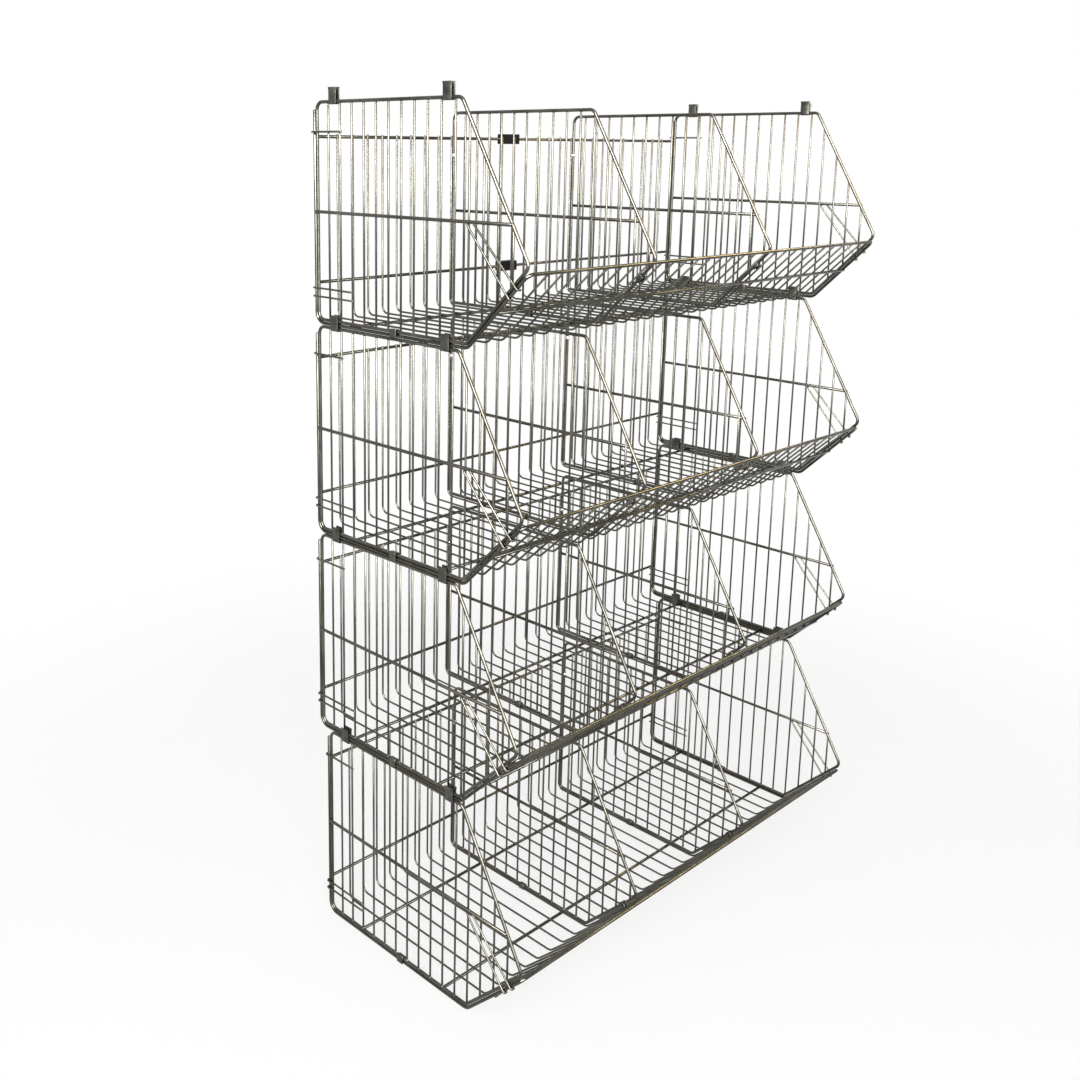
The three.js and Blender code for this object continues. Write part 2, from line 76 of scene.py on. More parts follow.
# Welds, as half sizes, and how far each is from the middle of the wire that it holds
END_WELD = 2.2
FLAT_WELD, WELD_THICK, FLAT_WELD_IN = 2.1, 1, 1.2
LIP_WELD, LIP_WELD_IN = (2, 1.6, 1.6), 1.4
RAIL_WELD, RAIL_WELD_IN = (2.1, 1.7, 1.7), 1.7
WELD_RINGS = [math.radians(tilt) for tilt in (-50, 0, 50)]


def linear(code):
    """A colour written as sRGB hex, as the linear colour that shaders take."""
    parts = [int(code[i:i + 2], 16) / 255 for i in (1, 3, 5)]
    return [c / 12.92 if c <= 0.04045 else ((c + 0.055) / 1.055) ** 2.4 for c in parts] + [1]


def add_node(tree, kind, settings=(), values=(), links=(), stops=()):
    """Adds a node with its properties, input values, links and ramp stops of (place, hex colour)."""
    made = tree.nodes.new(kind)
    for key, value in dict(settings).items():
        setattr(made, key, value)
    for key, value in dict(values).items():
        made.inputs[key].default_value = value
    for key, source in dict(links).items():
        tree.links.new(source, made.inputs[key])
    for i, (place, code) in enumerate(stops):
        steps = made.color_ramp.elements
        step = steps[i] if i < len(steps) else steps.new(place)
        step.position = place
        step.color = linear(code)
    return made


def new_material(name):
    """A material, its empty node tree and the output node in that tree."""
    material = bpy.data.materials.new(name)
    material.use_nodes = True
    tree = material.node_tree
    tree.nodes.clear()
    return material, tree, tree.nodes.new("ShaderNodeOutputMaterial")


def plated(name, stops, cloud, grain, gloss, bump):
    """Plated steel with clouds of colour and a grain in its gloss, their sizes in millimetres."""
    material, tree, output = new_material(name)
    place = add_node(tree, "ShaderNodeTexCoord").outputs["Object"]
    seed = add_node(tree, "ShaderNodeObjectInfo").outputs["Random"]
    clouds = add_node(tree, "ShaderNodeTexNoise", {"noise_dimensions": "4D"},
                      {"Scale": METRE / cloud, "Detail": 3, "Roughness": 0.6}, {"Vector": place, "W": seed})
    colour = add_node(tree, "ShaderNodeValToRGB", links={"Fac": clouds.outputs["Fac"]}, stops=stops)
    grains = add_node(tree, "ShaderNodeTexNoise", {},
                      {"Scale": METRE / grain, "Detail": 4, "Roughness": 0.65}, {"Vector": place})
    rough = add_node(tree, "ShaderNodeMapRange", {}, {"To Min": gloss[0], "To Max": gloss[1]},
                     {"Value": grains.outputs["Fac"]})
    relief = add_node(tree, "ShaderNodeBump", {}, {"Strength": bump, "Distance": 0.4 / METRE},
                      {"Height": grains.outputs["Fac"]})
    shader = add_node(tree, "ShaderNodeBsdfPrincipled", {}, {"Metallic": 1.0}, {
        "Base Color": colour.outputs["Color"], "Roughness": rough.outputs["Result"],
        "Normal": relief.outputs["Normal"]})
    tree.links.new(shader.outputs["BSDF"], output.inputs["Surface"])
    return material


# Zinc plating over drawn steel: a warm dark grey that clouds along a bar. The rods are smooth and show
# sharp lines of light, the wires softer ones. Drawing marks are coarser than real ones, so that they show.
CLOUD, DRAWING_MARK = 60, 2.4
# The basket's rods are the same zinc as the panels' rods, painted darker: painted shade for the dark
# surroundings that they mirror. Their lower roughness is real.
plated_rail_painted_shade = plated("plated_rail_painted_shade", [(0.3, "#3b3a35"), (0.5, "#4a4942"), (0.72, "#605f58")],
                     CLOUD, DRAWING_MARK, (0.14, 0.22), 0.03)
plated_wire = plated("plated_wire", [(0.3, "#403f39"), (0.5, "#53524b"), (0.72, "#6b6a63")],
                     CLOUD, DRAWING_MARK, (0.28, 0.38), 0.03)


def unit(vector):
    return vector / np.linalg.norm(vector)


def slope_depth(height, step):
    """Depth of the lower slope at a height, for a layer moved outwards by step."""
    return BASE_DEPTH + height + step * SLANT


def wire_x(i):
    """Place across of one of the basket's wires, counted from the left, starting at 0."""
    return WIRE_MARGIN - WIDTH / 2 + i * (WIDTH - 2 * WIRE_MARGIN) / (WIRE_COUNT - 1)


def bent(corners, closed=False):
    """Points of a path through corners, each (point, bend radius)."""
    path = []
    for i, (at, radius) in enumerate(corners):
        at = np.array(at, float)
        if not radius or (not closed and i in (0, len(corners) - 1)):
            path.append(at)
            continue
        back = unit(np.array(corners[i - 1][0], float) - at)
        on = unit(np.array(corners[(i + 1) % len(corners)][0], float) - at)
        half = math.acos(back @ on) / 2
        middle = at + unit(back + on) * radius / math.sin(half)
        first = at + back * radius / math.tan(half) - middle
        last = at + on * radius / math.tan(half) - middle
        turn = math.pi - 2 * half
        chords = math.ceil(turn / CHORD)
        for k in range(chords + 1):
            share = turn * k / chords
            path.append(middle + (math.sin(turn - share) * first + math.sin(share) * last) / math.sin(turn))
    return np.array(path)


def sweep(path, section, facing, closed=False):
    """Vertices and faces of a section, given as points (along facing, across it), swept along a path."""
    path = np.array(path, float)
    count, sides = len(path), len(section)
    legs = np.array([unit(path[(i + 1) % count] - path[i]) for i in range(count)])
    vertices = []
    for i in range(count):
        arriving = legs[i - 1] if closed or i else legs[0]
        leaving = legs[i] if closed or i < count - 1 else legs[i - 1]
        along = unit(arriving + leaving)
        facing = unit(facing - (facing @ along) * along)
        across = np.cross(along, facing)
        widen = 1 / (arriving @ along)
        turn = leaving - arriving
        inner = unit(turn) if np.linalg.norm(turn) > 1e-6 else facing
        for a, b in section:
            offset = a * facing + b * across
            vertices.append(path[i] + offset + (widen - 1) * (offset @ inner) * inner)
    faces = []
    for i in range(count if closed else count - 1):
        low, high = i * sides, (i + 1) % count * sides
        faces += [(low + k, low + (k + 1) % sides, high + (k + 1) % sides, high + k) for k in range(sides)]
    if not closed:
        faces.append(tuple(reversed(range(sides))))
        faces.append(tuple(range((count - 1) * sides, count * sides)))
    return np.array(vertices), faces


def tube(path, radius, sides=WIRE_SIDES, closed=False, broken=0.4):
    """A round bar along a path. Its free ends are broken by a share of the radius."""
    path = np.array(path, float)
    start = unit(path[1] - path[0])
    facing = np.array((1.0, 0, 0)) if abs(start[0]) < 0.9 else np.array((0, 0, 1.0))
    turns = [2 * math.pi * k / sides for k in range(sides)]
    section = [(radius * math.cos(t), radius * math.sin(t)) for t in turns]
    if closed:
        return sweep(path, section, facing, True)
    end = unit(path[-1] - path[-2])
    edge = broken * radius
    inner = np.vstack([path[:1] + edge * start, path[1:-1], path[-1:] - edge * end])
    vertices, faces = sweep(inner, section, facing)
    first, last = vertices[:sides], vertices[-sides:]
    low = path[0] + (1 - broken) * (first - inner[0])
    high = path[-1] + (1 - broken) * (last - inner[-1])
    count = len(vertices)
    del faces[-2:]
    for k in range(sides):
        n = (k + 1) % sides
        faces.append((count + k, count + n, n, k))
        faces.append((count - sides + k, count - sides + n, count + sides + n, count + sides + k))
    faces.append(tuple(count + k for k in reversed(range(sides))))
    faces.append(tuple(count + sides + k for k in range(sides)))
    return np.vstack([vertices, low, high]), faces


def bead(at, radii, sides=8):
    """A weld: a flattened drop of metal where two bars meet."""
    at, radii = np.array(at, float), np.array(radii, float)
    vertices = []
    for tilt in WELD_RINGS:
        lift, reach = math.sin(tilt), math.cos(tilt)
        for k in range(sides):
            turn = 2 * math.pi * k / sides
            vertices.append(at + radii * (reach * math.cos(turn), reach * math.sin(turn), lift))
    vertices += [at - radii * (0, 0, 1), at + radii * (0, 0, 1)]
    faces = []
    for k in range(sides):
        n = (k + 1) % sides
        faces += [(k, n, sides + n, sides + k), (sides + k, sides + n, 2 * sides + n, 2 * sides + k)]
        faces += [(n, k, 3 * sides), (2 * sides + k, 2 * sides + n, 3 * sides + 1)]
    return np.array(vertices), faces


def mesh_of(name, *groups, sharp=48):
    """One mesh of groups of (parts, material), in metres, with the front towards -Y."""
    vertices, faces, looks = [], [], []
    mesh = bpy.data.meshes.new(name)
    for parts, material in groups:
        for points, loops in parts:
            start = len(vertices)
            vertices += [(x / METRE, -depth / METRE, height / METRE) for x, depth, height in points]
            faces += [tuple(start + v for v in reversed(loop)) for loop in loops]
            looks += [len(mesh.materials)] * len(loops)
        mesh.materials.append(material)
    mesh.from_pydata(vertices, [], faces)
    mesh.polygons.foreach_set("material_index", looks)
    mesh.polygons.foreach_set("use_smooth", [True] * len(faces))
    mesh.set_sharp_from_angle(angle=math.radians(sharp))
    return mesh


def fit(name, mesh, tier, body, node, at=(0, 0, 0), tilt=0):
    """Puts a mesh in its tier, on a body of the frame, in the place of a CAD node if it has one."""
    piece = bpy.data.objects.new(name, mesh)
    depth = at[1] + (BOTTOM_FORWARD if tier == 1 else 0)
    height = at[2] + (tier - 1) * TIER_PITCH
    piece.location = (at[0] / METRE, (BACK_Y - depth) / METRE, (BASE_Z + height) / METRE)
    piece.rotation_euler.x = math.radians(tilt)
    scene.collection.objects.link(piece)
    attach(piece, body)
    if node:
        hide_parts(node)


rail_depth = slope_depth(RAIL_HEIGHT, ROD_STEP)
lip_depth = slope_depth(LIP_HEIGHT, ROD_STEP + LIP_OUTSET)
outer_bend = BEND + ROD_STEP
sides_and_rail = []
for x in (-WIDTH / 2, WIDTH / 2):
    run = [((x, -ROD_STEP, PANEL_HEIGHT - SIDE_DROP), 0), ((x, -ROD_STEP, -ROD_STEP), outer_bend),
           ((x, slope_depth(-ROD_STEP, ROD_STEP), -ROD_STEP), outer_bend),
           ((x, rail_depth, RAIL_HEIGHT), RAIL_BEND)]
    sides_and_rail += run if x < 0 else reversed(run)
basket_rods = [tube(bent(sides_and_rail), ROD, ROD_SIDES)]
cross_rods = [(-ROD_STEP, height) for height in BACK_RODS]
cross_rods += [(depth, -ROD_STEP) for depth in BASE_RODS]
cross_rods += [(lip_depth, LIP_HEIGHT)]
for depth, height in cross_rods:
    basket_rods.append(tube([(-WIDTH / 2, depth, height), (WIDTH / 2, depth, height)], CROSS, CROSS_SIDES))
    for x in (END_WELD - WIDTH / 2, WIDTH / 2 - END_WELD):
        basket_rods.append(bead((x, depth, height), (END_WELD, ROD, ROD)))
basket_wires = []
weld_line = -WIRE_STEP - FLAT_WELD_IN
for i in range(WIRE_COUNT):
    x = wire_x(i)
    basket_wires.append(tube(bent([
        ((x, -WIRE_STEP, BACK_RODS[0] + WIRE_TIP), 0), ((x, -WIRE_STEP, -WIRE_STEP), BEND),
        ((x, slope_depth(-WIRE_STEP, WIRE_STEP), -WIRE_STEP), WIRE_FOOT_BEND),
        ((x, rail_depth, RAIL_HEIGHT), 0)]), WIRE))
    for height in BACK_RODS:
        basket_wires.append(bead((x, weld_line, height), (FLAT_WELD, WELD_THICK, FLAT_WELD)))
    for depth in BASE_RODS:
        basket_wires.append(bead((x, depth, weld_line), (FLAT_WELD, FLAT_WELD, WELD_THICK)))
    basket_wires.append(bead((x, lip_depth - LIP_WELD_IN, LIP_HEIGHT + LIP_WELD_IN), LIP_WELD))
    basket_wires.append(bead((x, rail_depth - RAIL_WELD_IN, RAIL_HEIGHT - RAIL_WELD_IN), RAIL_WELD))
basket_mesh = mesh_of("wire_basket", (basket_rods, plated_rail_painted_shade), (basket_wires, plated_wire))
for tier in TIERS:
    fit(f"wire_basket_{tier}", basket_mesh, tier, f"tier_{tier}", f"tier{tier}_basket")

# End panels: a rod bent into a closed outline, vertical wires welded into it, and on the outer side a
# mid rod, three hooks that curl behind the basket's side rod and a hairpin whose feet curl under it.
TOP_DEPTH, NOSE_DEPTH, NOSE_HEIGHT = 314, 442, 114
LEAN = (NOSE_DEPTH - TOP_DEPTH) / (PANEL_HEIGHT - NOSE_HEIGHT)
PANEL_PITCH, NOSE_CLEAR = 27.5, 6
PANEL_MID = 167
MID_LAP = 1.5  # of a mid rod past the rod that it is welded to
WIRE_HALF = 1.3293  # half section of a panel's wire in the frame
MID_OFFSET = WIRE_HALF + PASS_GAP + CROSS_HALF
HOOK = 1.6  # radius of hooks and hairpins
HOOKS = ((287, 62), (49, 86), (36, 86))  # height and reach
HOOK_WELDED = 2 * WIRE_HALF + PASS_GAP  # outwards, where a hook is welded to wires
HOOK_CLEAR = ROD_HALF + TOUCH_GAP + WIRE_HALF  # outwards, where it passes the back rod
HOOK_BEHIND = ROD_STEP + HOOK_CLEAR
HOOK_TAIL = 3
HOOK_STEP_FROM, HOOK_STEP_TO = 6, -1  # depths between which a hook steps outwards
HOOK_BEND, HOOK_CURL = 5, 3.6
HAIRPIN_TOP, HAIRPIN_FOOT, HAIRPIN_HALF = 334, 418, 7
HAIRPIN_BEND, HAIRPIN_CURL = 4, 3.2
WIRE_WELD, WIRE_WELD_IN = (1.9, 2.2, 1.6), 2.5
MID_WELD, MID_WELD_OUT = (1, 2.1, 2.1), 1.5
MID_END_WELD, MID_END_WELD_OUT = (1.6, 2.4, 2.8), 1.8
HOOK_WELD, HOOK_WELD_OUT = (0.9, 1.9, 1.9), 1.4

# The same zinc on the panels' rods, duller than on the basket's and without the painted shade that darkens
# the basket's rods
plated_rod = plated("plated_rod", [(0.3, "#403f39"), (0.5, "#514f48"), (0.72, "#68665f")],
                    CLOUD, DRAWING_MARK, (0.27, 0.37), 0.05)


def slope_height(depth, step):
    """Height of the lower slope at a depth, for a layer moved outwards by step."""
    return depth - BASE_DEPTH - step * SLANT


def front_depth(height, setback):
    """Depth of the slanted front rod at a height, moved back by setback."""
    return TOP_DEPTH - setback + (PANEL_HEIGHT - height) * LEAN


def heights_at(outline, depth):
    """Lowest and highest point of a closed outline at one depth."""
    found = []
    for a, b in zip(outline, np.roll(outline, -1, 0)):
        if a[1] != b[1] and min(a[1], b[1]) <= depth <= max(a[1], b[1]):
            found.append(a[2] + (depth - a[1]) / (b[1] - a[1]) * (b[2] - a[2]))
    return min(found), max(found)


def rod_panel(side, step, top, setback, mid, rear_bend, foot_bend):
    """Rods and wires of an end panel or a divider, with their welds. The mid rod is on one side."""
    nose = (front_depth(0, setback) - slope_depth(0, step)) / (LEAN + 1)
    foot, front, tip = slope_depth(-step, step), front_depth(top, setback), front_depth(nose, setback)
    outline = bent([((0, -step, -step), rear_bend), ((0, -step, top), BEND), ((0, front, top), BEND),
                    ((0, tip, nose), BEND), ((0, foot, -step), foot_bend)], True)
    rods, wires = [tube(outline, ROD, ROD_SIDES, True)], []
    last = math.floor((tip - NOSE_CLEAR + step) / PANEL_PITCH)
    for k in range(1, last + 1):
        depth = k * PANEL_PITCH - step
        low, high = heights_at(outline, depth)
        wires.append(tube([(0, depth, low), (0, depth, high)], WIRE))
        wires.append(bead((0, depth, low + WIRE_WELD_IN), WIRE_WELD))
        wires.append(bead((0, depth, high - WIRE_WELD_IN), WIRE_WELD))
        if low < mid < high:
            wires.append(bead((side * MID_WELD_OUT, depth, mid), MID_WELD))
    x, reach = side * MID_OFFSET, front_depth(mid, setback)
    rods.append(tube([(x, -step - MID_LAP, mid), (x, reach + MID_LAP, mid)], CROSS, CROSS_SIDES))
    for depth in (-step, reach):
        rods.append(bead((side * MID_END_WELD_OUT, depth, mid), MID_END_WELD))
    return rods, wires


def end_panel(side):
    """Rods and wires of an end panel, each with its material."""
    rods, wires = rod_panel(side, 0, PANEL_HEIGHT, 0, PANEL_MID, BEND, BEND)
    welded, clear, tail = side * HOOK_WELDED, side * HOOK_CLEAR, -side * HOOK_TAIL
    for height, reach in HOOKS:
        wires.append(tube(bent([
            ((welded, reach, height), 0), ((welded, HOOK_STEP_FROM, height), HOOK_BEND),
            ((clear, HOOK_STEP_TO, height), HOOK_BEND), ((clear, -HOOK_BEHIND, height), HOOK_CURL),
            ((tail, -HOOK_BEHIND, height), 0)]), HOOK))
        for k in range(1, int(reach // PANEL_PITCH) + 1):
            wires.append(bead((side * HOOK_WELD_OUT, k * PANEL_PITCH, height), HOOK_WELD))
    path = []
    for turn in (-1, 1):
        depth = HAIRPIN_FOOT + turn * HAIRPIN_HALF
        low = slope_height(depth, HOOK_BEHIND)
        leg = [((tail, depth, low), 0), ((clear, depth, low), HAIRPIN_CURL),
               ((clear, HAIRPIN_TOP + turn * HAIRPIN_HALF, PANEL_MID), HAIRPIN_BEND)]
        path += leg if turn < 0 else reversed(leg)
    wires.append(tube(bent(path), HOOK))
    return (rods, plated_rod), (wires, plated_wire)


for side, label in ((-1, "left"), (1, "right")):
    panel_mesh = mesh_of(f"{label}_end_panel", *end_panel(side))
    for tier in TIERS:
        fit(f"{label}_end_panel_{tier}", panel_mesh, tier, f"tier_{tier}", f"tier{tier}_{label}_end",
            (side * WIDTH / 2, 0, 0))

# Sheet clips: strips of plated sheet folded round the rods. Stacking clips stand open above the top
# rods and take the next tier; mid clips tie each end panel's bottom rod to the basket's side rod.
SHEET, SHEET_EDGE = 1.2, 0.3
CLIP_HALF = ROD_HALF + TOUCH_GAP + SHEET / 2  # from the rod's middle to the middle of the sheet
FOLD = 1.9
STACK_LENGTH, STACK_RISE = 17, 21
FLARE, FLARE_HEIGHT, FLARE_BEND = 1, 5, 8
STACK_PLACES = {"rear": 1.5, "front": 10.5}  # along the top rod, in wire pitches
MID_CLIP_LENGTH, MID_CLIP_PLACE = 14, 6.5

# Zinc over cut and folded sheet: mottled and rough, so a clip is dark and even. The mottle is 16 mm wide,
# and the scratches are drawn at 1.4 mm, coarser than real ones, so that they show.
plated_sheet = plated("plated_sheet", [(0.3, "#3c3b37"), (0.55, "#4e4d48"), (0.75, "#64635d")],
                      16, 1.4, (0.34, 0.52), 0.35)


def folded(path, length):
    """A strip of sheet along a folded path, with its edges broken."""
    half, thick = length / 2, SHEET / 2
    flat, inset = thick - SHEET_EDGE, half - SHEET_EDGE
    section = [(half, -flat), (half, flat), (inset, thick), (-inset, thick),
               (-half, flat), (-half, -flat), (-inset, -thick), (inset, -thick)]
    return sweep(bent(path), section, np.array((0, 1.0, 0)))


def saddle(length, drop):
    """A clip that sits on a rod, open downwards."""
    return [folded([((CLIP_HALF, 0, -drop), 0), ((CLIP_HALF, 0, CLIP_HALF), FOLD),
                    ((-CLIP_HALF, 0, CLIP_HALF), FOLD), ((-CLIP_HALF, 0, -drop), 0)], length)]


mouth, upright = CLIP_HALF + FLARE, STACK_RISE - FLARE_HEIGHT
channel = [((mouth, 0, STACK_RISE), 0), ((CLIP_HALF, 0, upright), FLARE_BEND),
           ((CLIP_HALF, 0, -CLIP_HALF), FOLD), ((-CLIP_HALF, 0, -CLIP_HALF), FOLD),
           ((-CLIP_HALF, 0, upright), FLARE_BEND), ((-mouth, 0, STACK_RISE), 0)]
stack_clip_mesh = mesh_of("stacking_clip", ([folded(channel, STACK_LENGTH)], plated_sheet))
mid_clip_mesh = mesh_of("mid_clip", (saddle(MID_CLIP_LENGTH, ROD_STEP + ROD_HALF), plated_sheet))
for tier in TIERS:
    for side, label in ((-1, "left"), (1, "right")):
        x = side * WIDTH / 2
        for place, pitches in STACK_PLACES.items():
            fit(f"{label}_{place}_stacking_clip_{tier}", stack_clip_mesh, tier, f"tier_{tier}",
                f"tier{tier}_{label}_{place}_stack_clip",
                (x, pitches * PANEL_PITCH, PANEL_HEIGHT))
        fit(f"{label}_clip_between_rods_{tier}", mid_clip_mesh, tier, f"tier_{tier}",
            f"tier{tier}_{label}_mid_clip", (x, MID_CLIP_PLACE * PANEL_PITCH, 0))

# Dividers: lighter panels of the same make that stand in the basket along one of its wires. A ring on
# the back rod and sheet saddles on the base and the lower slope keep each one on its wire.
DIVIDER_WIRES = {"left": 8, "right": 18}
DIVIDER_STEP = WIRE_STEP - WIRE_CORNER - TOUCH_GAP - ROD_HALF  # outwards from the end panels, so inwards
DIVIDER_DROP, DIVIDER_SETBACK, DIVIDER_MID = 9.5, 17, 160
DIVIDER_REAR_BEND, DIVIDER_FOOT_BEND = BEND + DIVIDER_STEP - WIRE_STEP, 9
RING_HEIGHT, RING_LENGTH, RING_WALL, RING_FORWARD = 252, 7, 1.4, 0.75
RING_SIDES = 16
SADDLE_LENGTH, SADDLE_DROP = 12, ROD_HALF + TOUCH_GAP + WIRE_CORNER
SLOPE_SADDLE_PLACE, BASE_SADDLE_PLACE = 14.5, 6.5  # in wire pitches
SLOPE_TILT = -45

# Bright zinc on a turned ring: pale and smooth, a white spot on the dark rod. Its marks are drawn coarse
# too, at 1.6 mm, in clouds of 25 mm.
bright_ring = plated("bright_ring", [(0.3, "#b9b8b2"), (0.7, "#d6d5d0")], 25, 1.6, (0.25, 0.4), 0.05)

divider_rods, divider_wires = rod_panel(1, DIVIDER_STEP, PANEL_HEIGHT - DIVIDER_DROP, DIVIDER_SETBACK,
                                        DIVIDER_MID, DIVIDER_REAR_BEND, DIVIDER_FOOT_BEND)
ring_depth = RING_FORWARD - DIVIDER_STEP
ring_ends = [(0, ring_depth, RING_HEIGHT + end * RING_LENGTH / 2) for end in (-1, 1)]
ring = [tube(ring_ends, ROD + RING_WALL, RING_SIDES)]
divider_mesh = mesh_of("divider", (divider_rods, plated_rod), (divider_wires, plated_wire),
                       (ring, bright_ring))
divider_clip_mesh = mesh_of("divider_clip", (saddle(SADDLE_LENGTH, SADDLE_DROP), plated_sheet))
slope_saddle_depth = SLOPE_SADDLE_PLACE * PANEL_PITCH - DIVIDER_STEP
base_saddle_depth = BASE_SADDLE_PLACE * PANEL_PITCH - DIVIDER_STEP
for tier in TIERS:
    for label, wire in DIVIDER_WIRES.items():
        body, x = f"divider_{tier}_{label}", wire_x(wire)
        fit(f"{label}_divider_{tier}", divider_mesh, tier, body, f"tier{tier}_{label}_divider",
            (x, 0, 0))
        fit(f"{label}_divider_saddle_{tier}", divider_clip_mesh, tier, body,
            f"tier{tier}_{label}_divider_clip",
            (x, slope_saddle_depth, slope_height(slope_saddle_depth, DIVIDER_STEP)), SLOPE_TILT)
        fit(f"{label}_divider_base_saddle_{tier}", divider_clip_mesh, tier, body, None,
            (x, base_saddle_depth, -DIVIDER_STEP))

# Header holder: two black moulded blocks clipped on the back rods of the top tier, and a thin plated
# stem that slides in them. The blocks are the frame's own solids with their edges rounded.
STEM_WIRE = 12  # the wire to the left of the blocks
STEM_EDGE, BLOCK_BACK = 4, 9  # from a block's left face to the stem, and the plastic behind a rod
STEM_ASIDE = WIRE_CORNER + TOUCH_GAP + STEM_EDGE
STEM_DEPTH = -ROD_STEP - CROSS_HALF - BLOCK_BACK / 2
STEM_FOOT, STEM_TOP = 41, 330
STEM, STEM_SIDES = 1.95, 16
EDGE_RADIUS, SAME_POINT = 0.7, 0.01

# Moulded ABS with a fine grain: near black, with hardly any shine. Its grain is drawn at 1.1 mm, coarser
# than a real one, so that it shows.
PLASTIC_GRAIN = 1.1
black_plastic, tree, output = new_material("black_plastic")
place = add_node(tree, "ShaderNodeTexCoord").outputs["Object"]
grain = add_node(tree, "ShaderNodeTexNoise", {}, {"Scale": METRE / PLASTIC_GRAIN, "Detail": 3},
                 {"Vector": place}).outputs["Fac"]
relief = add_node(tree, "ShaderNodeBump", {}, {"Strength": 0.3, "Distance": 0.3 / METRE}, {"Height": grain})
colour = add_node(tree, "ShaderNodeValToRGB", links={"Fac": grain},
                  stops=[(0.3, "#0c0c0b"), (0.7, "#1a1a19")])
rough = add_node(tree, "ShaderNodeMapRange", {}, {"To Min": 0.5, "To Max": 0.68}, {"Value": grain})
shader = add_node(tree, "ShaderNodeBsdfPrincipled", {}, {"Specular IOR Level": 0.08}, {
    "Base Color": colour.outputs["Color"], "Roughness": rough.outputs["Result"],
    "Normal": relief.outputs["Normal"]})
tree.links.new(shader.outputs["BSDF"], output.inputs["Surface"])
for node_name in ("header_upper_block", "header_lower_block"):
    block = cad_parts[node_name]
    block.data.materials.clear()
    block.data.materials.append(black_plastic)
    weld = block.modifiers.new("weld", "WELD")
    weld.merge_threshold = SAME_POINT / METRE
    bevel = block.modifiers.new("rounded_edges", "BEVEL")
    bevel.width = EDGE_RADIUS / METRE
    bevel.segments = 2
    bevel.limit_method = "ANGLE"
stem = [tube([(0, 0, STEM_FOOT), (0, 0, STEM_TOP)], STEM, STEM_SIDES)]
stem_mesh = mesh_of("header_stem", (stem, plated_sheet))
fit("header_holder_stem", stem_mesh, 4, "header_stem", "header_stem",
    (wire_x(STEM_WIRE) + STEM_ASIDE, STEM_DEPTH, 0))

# Stage, in metres: a matt white floor that keeps the bin's shadow and fades into a white surround, and
# soft lamps. Only gloss shows the lamps called cards, which draw the white lines on the slanted rods and
# the warm ones on the nose rails.
FLOOR_HALF, FADE_FROM, FADE_TO = 2, 0.8, 1.9
FLOOR_GLOW = 0.72  # share of plain white in the floor as the camera sees it
SURROUND_LIGHT = 0.62  # strength of the white surround where it lights surfaces
AIM = (0, 0, 0.9)
WHITE, WARM = "#ffffff", "#ffdf9c"
scene.view_settings.view_transform = "Standard"


def seen_directly(tree):
    """1 for what the camera sees, itself or in metal or through glass, and 0 for the light on surfaces."""
    path = add_node(tree, "ShaderNodeLightPath").outputs
    either = add_node(tree, "ShaderNodeMath", {"operation": "MAXIMUM"},
                      links={0: path["Is Camera Ray"], 1: path["Is Glossy Ray"]})
    return add_node(tree, "ShaderNodeMath", {"operation": "MAXIMUM"},
                    links={0: either.outputs[0], 1: path["Is Transmission Ray"]}).outputs[0]


floor_paint, tree, output = new_material("pale_floor")
place = add_node(tree, "ShaderNodeTexCoord").outputs["Object"]
distance = add_node(tree, "ShaderNodeVectorMath", {"operation": "LENGTH"}, links={0: place})
edge = add_node(tree, "ShaderNodeMapRange", {"interpolation_type": "SMOOTHSTEP"},
                {"From Min": FADE_FROM, "From Max": FADE_TO}, {"Value": distance.outputs["Value"]})
matt = add_node(tree, "ShaderNodeBsdfDiffuse", values={"Color": linear("#f4f4f2")})
glow = add_node(tree, "ShaderNodeEmission", values={"Color": linear(WHITE), "Strength": 1.0})
share = add_node(tree, "ShaderNodeMapRange", {}, {"To Min": 0, "To Max": FLOOR_GLOW},
                 {"Value": seen_directly(tree)})
paint = add_node(tree, "ShaderNodeMixShader",
                 links={0: share.outputs["Result"], 1: matt.outputs[0], 2: glow.outputs[0]})
clear = add_node(tree, "ShaderNodeBsdfTransparent")
faded = add_node(tree, "ShaderNodeMixShader",
                 links={0: edge.outputs["Result"], 1: paint.outputs[0], 2: clear.outputs[0]})
tree.links.new(faded.outputs[0], output.inputs["Surface"])
floor_mesh = bpy.data.meshes.new("floor")
floor_corners = [(x * FLOOR_HALF, y * FLOOR_HALF, 0) for x, y in ((-1, -1), (1, -1), (1, 1), (-1, 1))]
floor_mesh.from_pydata(floor_corners, [], [(0, 1, 2, 3)])
floor_mesh.materials.append(floor_paint)
floor = bpy.data.objects.new("floor", floor_mesh)
scene.collection.objects.link(floor)

surround = bpy.data.worlds.new("white_surround")
surround.use_nodes = True
tree = surround.node_tree
tree.nodes.clear()
output = tree.nodes.new("ShaderNodeOutputWorld")
strength = add_node(tree, "ShaderNodeMapRange", {}, {"To Min": SURROUND_LIGHT, "To Max": 1.0},
                    {"Value": seen_directly(tree)})
sky = add_node(tree, "ShaderNodeBackground", {}, {"Color": linear(WHITE)},
               {"Strength": strength.outputs["Result"]})
tree.links.new(sky.outputs[0], output.inputs["Surface"])
scene.world = surround


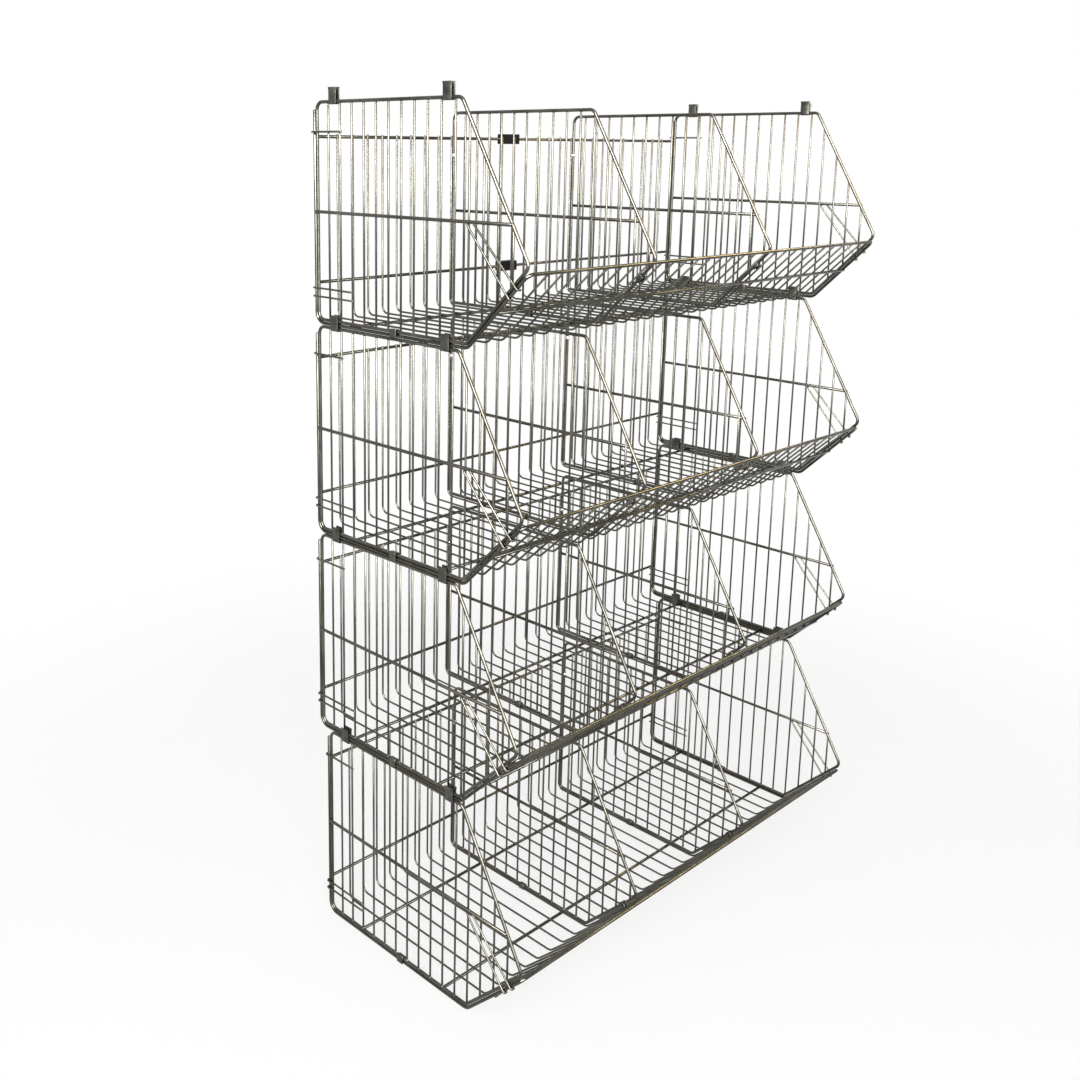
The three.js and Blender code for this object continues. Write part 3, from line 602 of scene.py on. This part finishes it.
def lamp(name, place, size, watts, colour=WHITE, lean=0, card=False):
    """A softbox that faces the bin, turned about its own axis by lean degrees, or a card."""
    data = bpy.data.lights.new(name, "AREA")
    data.shape = "RECTANGLE"
    data.size, data.size_y = size
    data.energy = watts
    data.color = linear(colour)[:3]
    made = bpy.data.objects.new(name, data)
    made.location = place
    facing = (Vector(AIM) - Vector(place)).to_track_quat("-Z", "Y")
    made.rotation_euler = (facing @ Quaternion((0, 0, 1), math.radians(lean))).to_euler()
    made.visible_camera = False
    made.visible_diffuse = not card
    scene.collection.objects.link(made)


lamp("front_softbox", (-2.5, -1.9, 2.05), (3.0, 2.8), 125, lean=25)
lamp("upper_card", (-2.6, -1.2, 3.1), (1.8, 0.9), 280, lean=25, card=True)
lamp("middle_card", (-2.55, -1.9, 2.15), (1.8, 0.9), 140, lean=25, card=True)
lamp("lower_card", (-1.3, -4.1, 1.95), (2.8, 1.2), 310, lean=6, card=True)
lamp("side_card", (2.45, -1.4, 2.5), (1.6, 0.35), 62, WARM, card=True)

# Camera: ahead and to the left of the bin, level with its top tier, as in the photograph.
# The picture's centre lies to the right of and below the point that the lens faces, hence the shift.
PICTURE = 1080  # pixels
FOCAL = 1200.7  # pixels
FACED = (420, 400)  # pixels, from the top left
CAMERA_PLACE = (-1.609, -1.2641, 1.2986)
YAW, PITCH, ROLL = math.radians(42.6113), math.radians(-11.8485), math.radians(0.3346)

forward = Vector((math.sin(YAW) * math.cos(PITCH), math.cos(YAW) * math.cos(PITCH), math.sin(PITCH)))
level = Vector((math.cos(YAW), -math.sin(YAW), 0))
plumb = level.cross(forward)
right = math.cos(ROLL) * level + math.sin(ROLL) * plumb
up = right.cross(forward)
lens = bpy.data.cameras.new("photo_camera")
lens.lens = FOCAL / PICTURE * lens.sensor_width
lens.shift_x = 0.5 - FACED[0] / PICTURE
lens.shift_y = FACED[1] / PICTURE - 0.5
camera = bpy.data.objects.new("photo_camera", lens)
turned = Matrix((right, up, -forward)).transposed().to_4x4()
camera.matrix_world = Matrix.Translation(CAMERA_PLACE) @ turned
scene.collection.objects.link(camera)
scene.camera = camera
